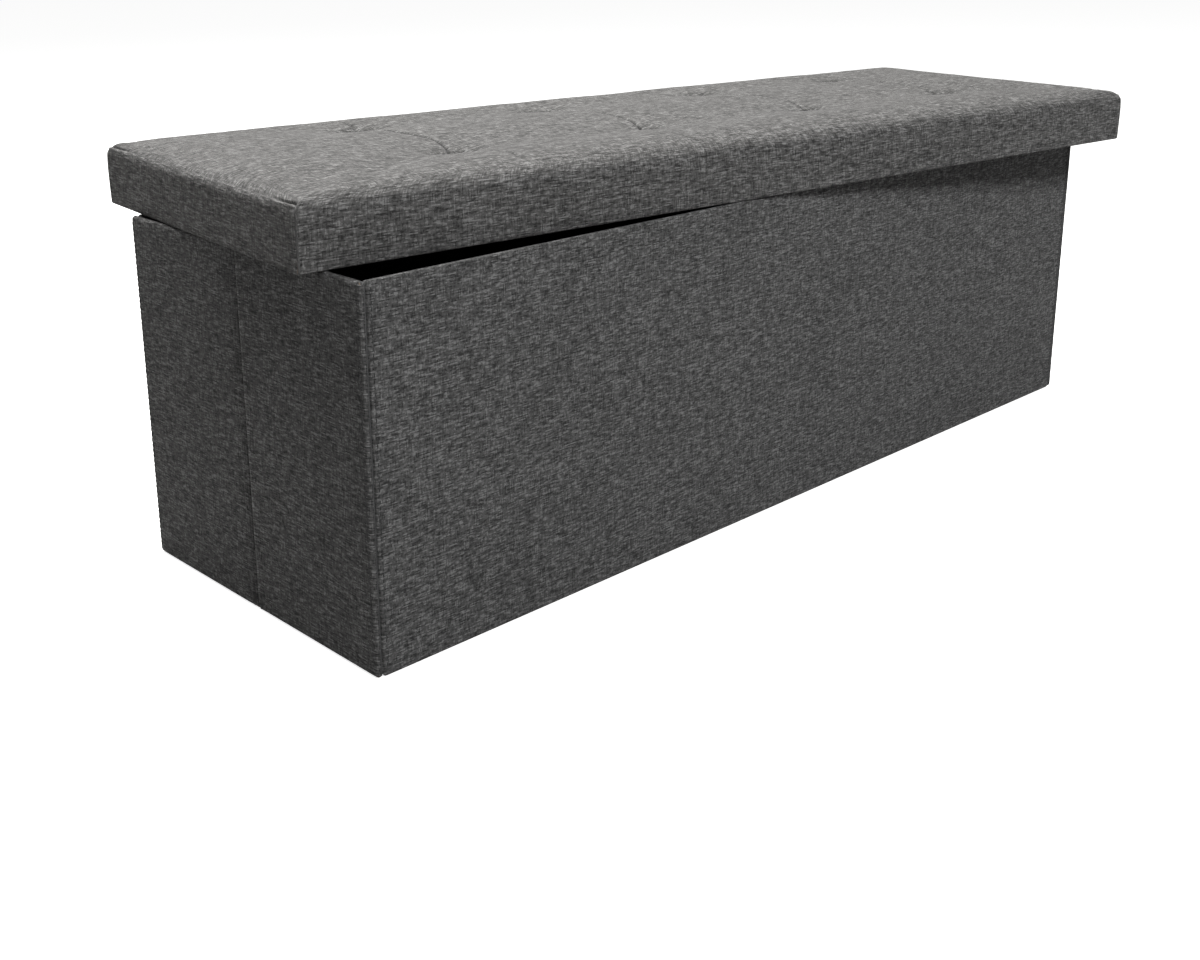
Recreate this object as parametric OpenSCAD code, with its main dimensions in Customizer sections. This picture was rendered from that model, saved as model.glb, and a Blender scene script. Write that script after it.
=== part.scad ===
// Folding storage bench: a fabric-covered box whose walls fold flat on fabric
// hinges, with a hinged floor panel and a loose padded lid that stands askew on the rim.
// X runs along the length, Y from front to back and Z up. The origin is the centre
// of the box's footprint, at the level that it stands on.

/* [Box] */
// Length over the end panels
box_length = 1080; // [900:10:1200]
// Depth over the two long walls
box_depth = 350; // [300:10:400]
// Height of the walls
wall_height = 330; // [300:10:400]
// Outer linen cover with its thin backing
cover_thick = 1.2; // [0.8:0.1:2]
// Fibreboard in the front and back walls
wall_board = 4; // [3:0.5:6]
// Fibreboard in the folding end panels
end_board = 3.2; // [2.5:0.1:5]
// Inner lining
lining_thick = 0.8; // [0.5:0.1:1.5]
// Radius of the walls' lower corners
foot_radius = 3; // [2:1:15]
// Radius of the walls' upper corners
rim_radius = 3; // [1:1:8]

/* [Floor panel] */
// Length of the floor panel
floor_length = 1060; // [880:10:1190]
// Board in the floor panel
floor_board_thick = 2.6; // [2:0.1:5]
// How far the floor stops behind the front wall, so that it folds up below the rim
floor_front_gap = 10.6; // [2:0.1:30]

/* [Lid] */
// Length of the lid
lid_length = 1100; // [920:10:1220]
// Depth of the lid
lid_depth = 370; // [320:10:420]
// Depth of the rails that hang round the box when the lid is closed
rail_drop = 34; // [20:1:50]
// Thickness of the rails
rail_thick = 6.8; // [4:0.1:12]
// Board under the foam
lid_board_thick = 6; // [4:0.5:12]
// Height of the foam at its edge
foam_edge = 15; // [10:1:40]
// Height of the foam at its crown
foam_crown = 20; // [10:1:50]
// Radius of the cushion's top edge
foam_round = 11; // [4:1:20]

/* [Tufting] */
// Spacing of the tufts along the lid
tuft_pitch_x = 230; // [150:1:300]
// Spacing of the two rows
tuft_pitch_y = 174; // [80:1:220]
// How far the pattern lies to the right of the lid's centre
tuft_shift_x = 18; // [-40:1:40]
// How far the pattern lies behind the lid's centre
tuft_shift_y = 24; // [-40:1:40]

/* [How the lid stands on the box] */
// Turn of the lid about the vertical
lid_turn = -5.8; // [-15:0.1:15]
// Lid's centre to the right of the box's centre
lid_offset_x = 3; // [-60:1:60]
// Lid's centre behind the box's centre
lid_offset_y = 1; // [-60:1:60]

/* [Hidden] */
$fn = 48;
// walls
wall_thick = cover_thick + wall_board + lining_thick;
end_thick = cover_thick + end_board + lining_thick;
wall_inner_y = box_depth / 2 - wall_thick;
end_inner_x = box_length / 2 - end_thick;
end_gap = 0.5;
crease_gap = 0.4;
// the end panels cover the long walls' ends
long_length = box_length - 2 * (end_thick + end_gap);
half_length = box_depth / 2 - crease_gap;
// corner axes: just inside the end panel, a little in front of the long wall
corner_x = end_inner_x - 2.4;
corner_y = wall_inner_y - 2.8;
corner_bead = 1.3;
corner_web = 1;
// floor panel, hinged just inside the back wall's lower edge
floor_cover_thick = 0.8;
floor_bead = 1.4;
floor_hinge_y = wall_inner_y - floor_bead;
floor_hinge_z = 2.8;
floor_back_y = floor_hinge_y - floor_bead - 0.4;
floor_front_y = -wall_inner_y + floor_front_gap;
// lid, in its own frame: centre of its footprint, with its lower edge at zero
rim_clear = 0.5;
lid_z = wall_height + rim_clear;
band_height = rail_drop + lid_board_thick;
rail_length = lid_length - 2 * cover_thick;
rail_depth = lid_depth - 2 * cover_thick;
lid_corner = 5;
// the rails stand off the lid's lower edge by the hem that is turned under them
hem_thick = 0.8;
rail_height = rail_drop - hem_thick;
crown_margin = 60;
tuft_columns = 4;
tuft_rows = 2;
tuft_bore = 1.6;
tuft_cord = 1;
tuft_knot = 5;
tuft_knot_thick = 1.2;

// ---- shapes that repeat ----

// Flat panel outline from 0 to width, standing on its lower edge and inset all round.
// Each lower corner has its own radius.
module panel_outline(width, foot_left, foot_right, inset) {
    left = max(foot_left - inset, 0);
    right = max(foot_right - inset, 0);
    low = max(left, right);
    rim = rim_radius - inset;
    w = width - 2 * inset;
    h = wall_height - 2 * inset;
    translate([inset, inset]) {
        translate([0, low])
            square([w, h - low - rim]);
        translate([left, 0])
            square([w - left - right, low + 1]);
        translate([rim, h - rim - 1])
            square([w - 2 * rim, rim + 1]);
        for (x = [rim, w - rim])
            translate([x, h - rim])
                circle(r = rim);
        if (left > 0)
            translate([left, left])
                circle(r = left);
        if (right > 0)
            translate([w - right, right])
                circle(r = right);
    }
}

// Sheet of one thickness inside a wall's cover, or the cover itself: a tray as deep as the wall
module wall_layer(width, foot_left, foot_right, thick, inset) {
    linear_extrude(thick)
        panel_outline(width, foot_left, foot_right, inset);
}

module wall_tray(width, foot_left, foot_right, thick) {
    difference() {
        wall_layer(width, foot_left, foot_right, thick, 0);
        translate([0, 0, cover_thick])
            wall_layer(width, foot_left, foot_right, thick, cover_thick);
    }
}

// Stands a layer up in the front wall, depth behind its outer face
module in_front_wall(depth) {
    translate([long_length / 2, -box_depth / 2 + depth, 0])
        mirror([1, 0, 0])
            rotate([90, 0, 0])
                mirror([0, 0, 1])
                    children();
}

// Stands a layer up in the rear half of the left end, depth inside its outer face
module in_left_rear(depth) {
    translate([-box_length / 2 + depth, crease_gap, 0])
        rotate([90, 0, 90])
            children();
}

module long_cover() {
    in_front_wall(0)
        wall_tray(long_length, foot_radius, foot_radius, wall_thick);
}

module long_board() {
    in_front_wall(cover_thick)
        wall_layer(long_length, foot_radius, foot_radius, wall_board, cover_thick);
}

module long_lining() {
    in_front_wall(cover_thick + wall_board)
        wall_layer(long_length, foot_radius, foot_radius, lining_thick, cover_thick);
}

module half_cover() {
    in_left_rear(0)
        wall_tray(half_length, 0, foot_radius, end_thick);
}

module half_board() {
    in_left_rear(cover_thick)
        wall_layer(half_length, 0, foot_radius, end_board, cover_thick);
}

module half_lining() {
    in_left_rear(cover_thick + end_board)
        wall_layer(half_length, 0, foot_radius, lining_thick, cover_thick);
}

// Fabric hinge in the back left corner: a round bead on the fold axis and the web that holds it
module corner_hinge() {
    translate([-corner_x, corner_y, 0])
        cylinder(r = corner_bead, h = wall_height - rim_radius);
    translate([-corner_x - corner_web / 2, corner_y, 0])
        cube([corner_web, wall_inner_y - corner_y, wall_height - rim_radius]);
}

// Places a piece of the lid where the lid stands on the rim
module on_rim() {
    translate([lid_offset_x, lid_offset_y, lid_z])
        rotate([0, 0, lid_turn])
            children();
}

// Box centred on the lid, from one height up
module lid_slab(length, depth, z, thick) {
    translate([-length / 2, -depth / 2, z])
        cube([length, depth, thick]);
}

// Block of the lid's outline with a rounded top edge and a low crown, inset all round
module crowned_block(inset) {
    half_x = lid_length / 2 - inset;
    half_y = lid_depth / 2 - inset;
    edge = foam_edge + cover_thick - inset;
    crown = foam_crown + cover_thick - inset;
    intersection() {
        hull() {
            for (x = [-1, 1], y = [-1, 1]) {
                translate([x * (half_x - lid_corner), y * (half_y - lid_corner), band_height])
                    cylinder(r = lid_corner, h = 1, $fn = 24);
                translate([
                    x * (half_x - foam_round), y * (half_y - foam_round),
                    band_height + edge - foam_round
                ])
                    sphere(r = foam_round, $fn = 24);
            }
            lid_slab(2 * (half_x - crown_margin), 2 * (half_y - crown_margin), band_height, crown);
        }
        lid_slab(lid_length, lid_depth, band_height, crown);
    }
}

// Puts its children at every tuft
module at_tufts() {
    for (i = [0 : tuft_columns - 1], j = [0 : tuft_rows - 1])
        translate([
            tuft_shift_x + (i - (tuft_columns - 1) / 2) * tuft_pitch_x,
            tuft_shift_y + (j - (tuft_rows - 1) / 2) * tuft_pitch_y,
            band_height
        ])
            children();
}

// ---- back wall, which carries the rest ----

module back_cover() {
    color("dimgray")
        mirror([0, 1, 0])
            long_cover();
}

module back_board() {
    color("burlywood")
        mirror([0, 1, 0])
            long_board();
}

module back_lining() {
    color("black")
        mirror([0, 1, 0])
            long_lining();
}

module corner_hinge_back_left() {
    color("black")
        corner_hinge();
}

module corner_hinge_back_right() {
    color("black")
        mirror([1, 0, 0])
            corner_hinge();
}

module floor_hinge() {
    color("black")
        translate([-floor_length / 2, floor_hinge_y, floor_hinge_z])
            rotate([0, 90, 0])
                cylinder(r = floor_bead, h = floor_length);
}

// ---- front wall ----

module front_cover() {
    color("dimgray")
        long_cover();
}

module front_board() {
    color("burlywood")
        long_board();
}

module front_lining() {
    color("black")
        long_lining();
}

module corner_hinge_front_left() {
    color("black")
        mirror([0, 1, 0])
            corner_hinge();
}

module corner_hinge_front_right() {
    color("black")
        mirror([1, 0, 0])
            mirror([0, 1, 0])
                corner_hinge();
}

// ---- end panels: two halves each, with a crease between them ----

module left_rear_cover() {
    color("dimgray")
        half_cover();
}

module left_rear_board() {
    color("burlywood")
        half_board();
}

module left_rear_lining() {
    color("black")
        half_lining();
}

module left_front_cover() {
    color("dimgray")
        mirror([0, 1, 0])
            half_cover();
}

module left_front_board() {
    color("burlywood")
        mirror([0, 1, 0])
            half_board();
}

module left_front_lining() {
    color("black")
        mirror([0, 1, 0])
            half_lining();
}

module right_rear_cover() {
    color("dimgray")
        mirror([1, 0, 0])
            half_cover();
}

module right_rear_board() {
    color("burlywood")
        mirror([1, 0, 0])
            half_board();
}

module right_rear_lining() {
    color("black")
        mirror([1, 0, 0])
            half_lining();
}

module right_front_cover() {
    color("dimgray")
        mirror([1, 0, 0])
            mirror([0, 1, 0])
                half_cover();
}

module right_front_board() {
    color("burlywood")
        mirror([1, 0, 0])
            mirror([0, 1, 0])
                half_board();
}

module right_front_lining() {
    color("black")
        mirror([1, 0, 0])
            mirror([0, 1, 0])
                half_lining();
}

// ---- floor panel ----

module floor_board() {
    color("burlywood")
        translate([-floor_length / 2, floor_front_y, 0])
            cube([floor_length, floor_back_y - floor_front_y, floor_board_thick]);
}

module floor_cover() {
    color("black")
        translate([-floor_length / 2, floor_front_y, floor_board_thick])
            cube([floor_length, floor_back_y - floor_front_y, floor_cover_thick]);
}

// ---- lid ----

module lid_board() {
    color("burlywood")
        on_rim()
            lid_slab(rail_length, rail_depth, rail_drop, lid_board_thick);
}

module lid_lining() {
    color("black")
        on_rim()
            lid_slab(
                rail_length - 2 * rail_thick, rail_depth - 2 * rail_thick,
                rail_drop - lining_thick, lining_thick
            );
}

module lid_foam() {
    color("ivory")
        on_rim()
            difference() {
                crowned_block(cover_thick);
                at_tufts()
                    cylinder(r = tuft_bore, h = 2 * foam_crown);
            }
}

module lid_top_cover() {
    color("gray")
        on_rim()
            difference() {
                crowned_block(0);
                crowned_block(cover_thick);
                at_tufts()
                    cylinder(r = tuft_bore, h = 2 * foam_crown);
            }
}

// Tuft cords, each from the board up through the foam to a knot on the cover
module lid_tufts() {
    color("dimgray")
        on_rim()
            at_tufts() {
                cylinder(r = tuft_cord, h = foam_crown + cover_thick);
                translate([0, 0, foam_crown + cover_thick])
                    cylinder(r = tuft_knot, h = tuft_knot_thick);
            }
}

module lid_front_rail() {
    color("burlywood")
        on_rim()
            translate([-rail_length / 2, -rail_depth / 2, hem_thick])
                cube([rail_length, rail_thick, rail_height]);
}

module lid_back_rail() {
    color("burlywood")
        on_rim()
            translate([-rail_length / 2, rail_depth / 2 - rail_thick, hem_thick])
                cube([rail_length, rail_thick, rail_height]);
}

module lid_left_rail() {
    color("burlywood")
        on_rim()
            translate([-rail_length / 2, -rail_depth / 2 + rail_thick, hem_thick])
                cube([rail_thick, rail_depth - 2 * rail_thick, rail_height]);
}

module lid_right_rail() {
    color("burlywood")
        on_rim()
            translate([rail_length / 2 - rail_thick, -rail_depth / 2 + rail_thick, hem_thick])
                cube([rail_thick, rail_depth - 2 * rail_thick, rail_height]);
}

module lid_front_band() {
    color("dimgray")
        on_rim()
            translate([-lid_length / 2, -lid_depth / 2, 0])
                cube([lid_length, cover_thick, band_height]);
}

module lid_back_band() {
    color("dimgray")
        on_rim()
            translate([-lid_length / 2, lid_depth / 2 - cover_thick, 0])
                cube([lid_length, cover_thick, band_height]);
}

module lid_left_band() {
    color("dimgray")
        on_rim()
            translate([-lid_length / 2, -rail_depth / 2, 0])
                cube([cover_thick, rail_depth, band_height]);
}

module lid_right_band() {
    color("dimgray")
        on_rim()
            translate([lid_length / 2 - cover_thick, -rail_depth / 2, 0])
                cube([cover_thick, rail_depth, band_height]);
}

back_board();
back_cover();
back_lining();
corner_hinge_back_left();
corner_hinge_back_right();
floor_hinge();
front_board();
front_cover();
front_lining();
corner_hinge_front_left();
corner_hinge_front_right();
left_rear_board();
left_rear_cover();
left_rear_lining();
left_front_board();
left_front_cover();
left_front_lining();
right_rear_board();
right_rear_cover();
right_rear_lining();
right_front_board();
right_front_cover();
right_front_lining();
floor_board();
floor_cover();
lid_board();
lid_lining();
lid_foam();
lid_top_cover();
lid_tufts();
lid_front_rail();
lid_back_rail();
lid_left_rail();
lid_right_rail();
lid_front_band();
lid_back_band();
lid_left_band();
lid_right_band();
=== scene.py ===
"""Folding storage bench with a loose padded lid: looks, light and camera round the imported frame."""

import math

import bpy
import numpy as np
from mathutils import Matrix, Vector, noise
from mathutils.bvhtree import BVHTree


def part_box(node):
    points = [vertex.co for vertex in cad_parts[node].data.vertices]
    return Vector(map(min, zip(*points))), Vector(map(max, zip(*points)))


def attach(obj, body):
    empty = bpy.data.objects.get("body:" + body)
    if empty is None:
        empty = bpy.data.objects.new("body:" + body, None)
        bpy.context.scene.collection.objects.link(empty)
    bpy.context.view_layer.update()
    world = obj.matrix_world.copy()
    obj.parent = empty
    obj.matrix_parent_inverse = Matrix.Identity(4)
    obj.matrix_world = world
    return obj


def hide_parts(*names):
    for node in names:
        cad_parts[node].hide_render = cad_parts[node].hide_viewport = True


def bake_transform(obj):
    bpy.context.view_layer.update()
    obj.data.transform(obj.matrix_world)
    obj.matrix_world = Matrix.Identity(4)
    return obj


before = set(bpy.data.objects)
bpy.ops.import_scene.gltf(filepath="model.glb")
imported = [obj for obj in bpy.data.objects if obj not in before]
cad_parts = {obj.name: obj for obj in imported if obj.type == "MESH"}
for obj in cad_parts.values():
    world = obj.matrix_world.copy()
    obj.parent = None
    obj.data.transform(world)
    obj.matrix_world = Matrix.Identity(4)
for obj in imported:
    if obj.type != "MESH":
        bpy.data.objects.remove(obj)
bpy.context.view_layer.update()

MM = 0.001
PI = math.pi

# ---------------------------------------------------------------- camera

scene = bpy.context.scene
camera = bpy.data.objects.new("camera", bpy.data.cameras.new("camera"))
scene.collection.objects.link(camera)
scene.camera = camera
YAW, PITCH = math.radians(44.82), math.radians(16.21)
camera.location = (-1.154, -1.046, 0.594)
look = Vector((math.sin(YAW) * math.cos(PITCH), math.cos(YAW) * math.cos(PITCH), -math.sin(PITCH)))
camera.rotation_mode = "QUATERNION"
camera.rotation_quaternion = look.to_track_quat("-Z", "Y")
camera.data.sensor_width = 36
camera.data.lens = 43.8
camera.data.shift_y = -0.12
camera.data.clip_start, camera.data.clip_end = 0.02, 60

# ---------------------------------------------------------------- node helpers


class Shader:
    """A material's node tree, with short calls that add nodes and wire them."""

    def __init__(self, name):
        self.material = bpy.data.materials.new(name)
        self.material.use_nodes = True
        self.tree = self.material.node_tree
        self.shader = self.tree.nodes["Principled BSDF"]

    def add(self, kind, **settings):
        node = self.tree.nodes.new("ShaderNode" + kind)
        for key, value in settings.items():
            setattr(node, key, value)
        return node

    def wire(self, value, socket):
        if isinstance(value, bpy.types.NodeSocket):
            self.tree.links.new(value, socket)
        else:
            socket.default_value = value

    def math(self, operation, a, b=0.0, c=0.0):
        node = self.add("Math", operation=operation)
        for value, socket in zip((a, b, c), node.inputs):
            self.wire(value, socket)
        return node.outputs[0]

    def times(self, a, b):
        return self.math("MULTIPLY", a, b)

    def plus(self, a, b):
        return self.math("ADD", a, b)

    def minus(self, a, b):
        return self.math("SUBTRACT", a, b)

    def scaled(self, a, b, c):
        """a times b, plus c."""
        return self.math("MULTIPLY_ADD", a, b, c)

    def point(self, x, y, z=0.0):
        node = self.add("CombineXYZ")
        for value, socket in zip((x, y, z), node.inputs):
            self.wire(value, socket)
        return node.outputs[0]

    def cloth(self):
        """The cloth's own two coordinates in metres, along its weft and along its warp."""
        uv = self.add("UVMap", uv_map="cloth").outputs[0]
        parts = self.add("SeparateXYZ")
        self.wire(uv, parts.inputs[0])
        return parts.outputs[0], parts.outputs[1]

    def place(self):
        return self.add("TexCoord").outputs["Object"]

    def noise(self, vector, scale=1.0, detail=2.0, roughness=0.5):
        node = self.add("TexNoise")
        self.wire(vector, node.inputs["Vector"])
        node.inputs["Scale"].default_value = scale
        node.inputs["Detail"].default_value = detail
        node.inputs["Roughness"].default_value = roughness
        return node.outputs[0]

    def ramp(self, value, stops):
        node = self.add("ValToRGB")
        self.wire(value, node.inputs[0])
        marks = node.color_ramp.elements
        while len(marks) < len(stops):
            marks.new(0.5)
        for mark, (place, colour) in zip(marks, stops):
            mark.position = place
            mark.color = (*colour, 1)
        return node.outputs[0]

    def mix(self, share, a, b, how="MIX"):
        node = self.add("Mix", data_type="RGBA", blend_type=how)
        self.wire(share, node.inputs[0])
        self.wire(a, node.inputs[6])
        self.wire(b, node.inputs[7])
        return node.outputs[2]

    def bump(self, height, distance, strength):
        node = self.add("Bump")
        node.inputs["Strength"].default_value = strength
        node.inputs["Distance"].default_value = distance
        self.wire(height, node.inputs["Height"])
        self.wire(node.outputs[0], self.shader.inputs["Normal"])

    def base(self, colour, roughness):
        self.wire(colour, self.shader.inputs["Base Color"])
        self.wire(roughness, self.shader.inputs["Roughness"])

    def soft(self, sheen, roughness):
        self.shader.inputs["Sheen Weight"].default_value = sheen
        self.shader.inputs["Sheen Roughness"].default_value = roughness
        self.shader.inputs["Specular IOR Level"].default_value = 0.25


def grey(value, warm=0.0):
    """A near-grey colour, a little warmer for a positive second number."""
    return (value * (1 + warm), value, value * (1 - warm * 1.2))


def linen(name, level, warm, contrast, sheen, run=1.0):
    """Plain-weave heathered cloth: slubby weft along u, finer warp along v."""
    s = Shader(name)
    u, v = s.cloth()
    weft_pitch, warp_pitch = 1.02 * MM, 1.15 * MM
    # Yarns wander a little, so that rows aren't ruled lines.
    wander = s.noise(s.point(s.times(u, 6), s.times(v, 12)), 1, 1)
    across = s.math("DIVIDE", s.scaled(wander, 0.9 * MM, v), weft_pitch)
    wander = s.noise(s.point(s.times(u, 12), s.times(v, 6), 5), 1, 1)
    along = s.math("DIVIDE", s.scaled(wander, 0.9 * MM, u), warp_pitch)
    row, column = s.math("FLOOR", across), s.math("FLOOR", along)

    def yarn(fixed, running, length, key, detail=2.0):
        """One shade per yarn, which changes along it."""
        place = s.point(s.math("DIVIDE", running, length), s.times(fixed, 5.31), key)
        return s.noise(place, 1, detail, 0.62)

    weft = yarn(row, u, 5.2 * MM * run, 0.5)
    warp = yarn(column, v, 4.4 * MM * run, 7.7)
    over = s.math("PINGPONG", s.plus(row, column), 1)
    pick = s.scaled(over, 0.26, 0.52)
    lower = s.times(warp, s.minus(1, pick))
    woven = s.plus(s.times(weft, pick), lower)
    # Slubs: some yarns run thick and light, or thin and dark, for a while.
    slub = yarn(row, u, 11 * MM * run, 3.1, 0.0)
    rib = yarn(column, v, 9 * MM * run, 9.4, 0.0)
    pair = yarn(s.math("FLOOR", s.math("DIVIDE", across, 2)), u, 6 * MM * run, 13.3, 1.0)
    thick = s.plus(
        s.times(s.minus(slub, 0.5), 0.32),
        s.times(s.minus(rib, 0.5), 0.16),
    )
    thick = s.scaled(s.minus(pair, 0.5), 0.1, thick)
    shade = s.plus(woven, thick)
    colour = s.ramp(
        shade,
        [
            (0.5 - 0.17 / contrast, grey(level * 0.28, warm)),
            (0.5 - 0.03 / contrast, grey(level * 0.82, warm)),
            (0.5 + 0.06 / contrast, grey(level * 1.15, warm)),
            (0.5 + 0.17 / contrast, grey(level * 2.3, warm * 0.6)),
        ],
    )
    patch = s.noise(s.point(s.times(u, 7), s.times(v, 9), 1.3), 1, 3, 0.55)
    # Painted shade and painted highlight: the marks attribute darkens folds, seams and tuft pits, and
    # lightens the crests beside them.
    marks = s.add("Attribute", attribute_type="GEOMETRY", attribute_name="marks").outputs["Fac"]
    patch_and_painted_shade = s.times(s.scaled(patch, 0.22, 0.89), s.minus(1, marks))
    colour = s.mix(1.0, colour, s.point(patch_and_painted_shade, patch_and_painted_shade, patch_and_painted_shade), "MULTIPLY")
    s.base(colour, s.scaled(shade, -0.2, 0.96))
    s.soft(sheen, 0.42)
    # Each yarn is round, and passes over and under its neighbours.
    weft_round = s.math("SINE", s.times(s.math("FRACT", across), PI))
    warp_round = s.math("SINE", s.times(s.math("FRACT", along), PI))
    weave = s.plus(
        s.times(weft_round, s.scaled(over, 0.5, 0.4)),
        s.times(warp_round, s.scaled(over, -0.4, 0.5)),
    )
    relief = s.scaled(shade, 0.9, s.times(weave, 0.55))
    s.bump(relief, 0.45 * MM, 0.75)
    return s.material


def nonwoven(name, level):
    """Black spun lining, point-bonded in a fine diamond of small dents."""
    s = Shader(name)
    u, v = s.cloth()
    pitch = 2.4 * MM
    p = s.math("FRACT", s.math("DIVIDE", s.plus(u, v), pitch))
    q = s.math("FRACT", s.math("DIVIDE", s.minus(u, v), pitch))
    dent = s.times(s.math("SINE", s.times(p, PI)), s.math("SINE", s.times(q, PI)))
    fibre = s.noise(s.point(s.math("DIVIDE", u, 0.5 * MM), s.math("DIVIDE", v, 0.5 * MM)), 1, 3, 0.7)
    cloud = s.noise(s.point(s.times(u, 22), s.times(v, 22), 4), 1, 3, 0.6)
    shade = s.plus(s.times(fibre, 0.6), s.times(cloud, 0.4))
    colour = s.ramp(shade, [(0.3, grey(level * 0.6)), (0.7, grey(level * 1.7))])
    s.base(colour, s.scaled(dent, 0.2, 0.62))
    s.soft(0.05, 0.6)
    s.bump(s.plus(s.times(dent, -0.7), s.times(fibre, 0.5)), 0.3 * MM, 0.6)
    return s.material


def tape(name, level):
    """Black woven tape of the inner hinges."""
    s = Shader(name)
    u, v = s.cloth()
    rib = s.math("SINE", s.times(s.scaled(v, 0.5, u), 2 * PI / (1.6 * MM)))
    grain = s.noise(s.place(), 900, 2)
    colour = s.ramp(grain, [(0.3, grey(level * 0.7)), (0.7, grey(level * 1.5))])
    s.base(colour, s.scaled(grain, 0.2, 0.7))
    s.soft(0.05, 0.6)
    s.bump(s.plus(s.times(rib, 0.4), grain), 0.3 * MM, 0.6)
    return s.material


def fibreboard(name):
    """Brown pressed board: short fibres, darker specks and a slight cloudiness."""
    s = Shader(name)
    fibres = s.noise(s.place(), 420, 4, 0.7)
    cloud = s.noise(s.place(), 14, 3)
    speck = s.noise(s.place(), 1500, 1)
    shade = s.plus(s.times(fibres, 0.6), s.times(cloud, 0.4))
    browns = (0.12, 0.072, 0.042), (0.21, 0.135, 0.08), (0.3, 0.205, 0.125)
    colour = s.ramp(shade, list(zip((0.3, 0.5, 0.7), browns)))
    dark = s.ramp(speck, [(0.32, (0.45, 0.45, 0.45)), (0.42, (1, 1, 1))])
    s.base(s.mix(1.0, colour, dark, "MULTIPLY"), s.scaled(fibres, 0.25, 0.62))
    s.bump(s.plus(fibres, s.times(speck, 0.4)), 0.15 * MM, 0.5)
    return s.material


def thread(name, level):
    """Two-ply sewing thread: a twist along its length."""
    s = Shader(name)
    u, v = s.cloth()
    twist = s.math("SINE", s.times(s.plus(u, v), 2 * PI / (0.7 * MM)))
    fluff = s.noise(s.place(), 2500, 2)
    colour = s.ramp(fluff, [(0.3, grey(level * 0.7)), (0.7, grey(level * 1.4))])
    s.base(colour, s.scaled(fluff, 0.15, 0.6))
    s.soft(0.2, 0.4)
    s.bump(twist, 0.1 * MM, 0.7)
    return s.material


LINEN = linen("linen", 0.104, 0.012, 1.15, 0.12)
LID_LINEN = linen("lid_linen", 0.107, 0.02, 1.15, 0.14, 1.2)
LINING = nonwoven("lining", 0.075)
TAPE = tape("hinge_tape", 0.014)
BOARD = fibreboard("fibreboard")
THREAD = thread("thread", 0.05)

# ---------------------------------------------------------------- mesh helpers


def steps(low, high, pitch, fine=(), fine_pitch=None, fine_reach=None):
    """Points from low to high about pitch apart, closer together near each fine place."""
    points, x = [low], low
    while x < high - 1e-9:
        near = any(abs(x - f) < fine_reach for f in fine) if fine else False
        x += fine_pitch if near else pitch
        points.append(min(x, high))
    if len(points) > 2 and points[-1] - points[-2] < 0.4 * pitch:
        points.pop(-2)
    return np.array(points)


def with_corner(points, start_radius, end_radius, count=4):
    """The same points with a few added inside each end's corner radius."""
    low, high = points[0], points[-1]
    kept = points[(points > low + start_radius * 1.15) & (points < high - end_radius * 1.15)]
    share = np.linspace(0, 1, count + 1)
    return np.concatenate([low + start_radius * share, kept, high - end_radius * share[::-1]])


def rounded_grid(xs, ys, radii):
    """A rectangle's grid with round corners (radii in turn from low x, low y, anticlockwise).
    Returns x, y, the outline's indices anticlockwise, and its outward directions."""
    gx, gy = np.meshgrid(xs, ys, indexing="ij")
    x, y = gx.copy(), gy.copy()
    nx, ny = np.zeros_like(gx), np.zeros_like(gy)
    for (side_x, side_y), r in zip(((-1, -1), (1, -1), (1, 1), (-1, 1)), radii):
        cx = (xs[-1] - r) if side_x > 0 else (xs[0] + r)
        cy = (ys[-1] - r) if side_y > 0 else (ys[0] + r)
        a, b = (gx - cx) / r * side_x, (gy - cy) / r * side_y
        corner = (a > 1e-6) & (b > 1e-6)
        a, b = np.clip(a, 0, 1), np.clip(b, 0, 1)
        px, py = a * np.sqrt(1 - b * b / 2), b * np.sqrt(1 - a * a / 2)
        x, y = np.where(corner, cx + side_x * r * px, x), np.where(corner, cy + side_y * r * py, y)
        size = np.maximum(np.hypot(px, py), 1e-9)
        nx, ny = np.where(corner, side_x * px / size, nx), np.where(corner, side_y * py / size, ny)
    flat = (nx == 0) & (ny == 0)
    for index, sign in ((0, -1), (-1, 1)):
        nx[index, :] = np.where(flat[index, :], sign, nx[index, :])
        ny[:, index] = np.where(flat[:, index], sign, ny[:, index])
    loop = outline(np.arange(gx.size).reshape(gx.shape))
    return x, y, loop, np.stack([nx.ravel()[loop], ny.ravel()[loop]], 1)


def outline(where):
    """A grid's outline indices, anticlockwise."""
    return np.concatenate([where[:-1, 0], where[-1, :-1], where[:0:-1, -1], where[0, :0:-1]])


def grid_faces(count_x, count_y, start=0, flip=False):
    """A grid's faces, with its points numbered from start."""
    where = np.arange(count_x * count_y).reshape(count_x, count_y) + start
    a, b, c, d = where[:-1, :-1], where[1:, :-1], where[1:, 1:], where[:-1, 1:]
    quads = np.stack([a, d, c, b] if flip else [a, b, c, d], -1)
    return quads.reshape(-1, 4).tolist()


def ring_faces(inner, outer):
    """Faces between two rings with as many points each."""
    after = np.roll(np.arange(len(inner)), -1)
    return np.stack([inner, outer, outer[after], inner[after]], 1).tolist()


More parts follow.
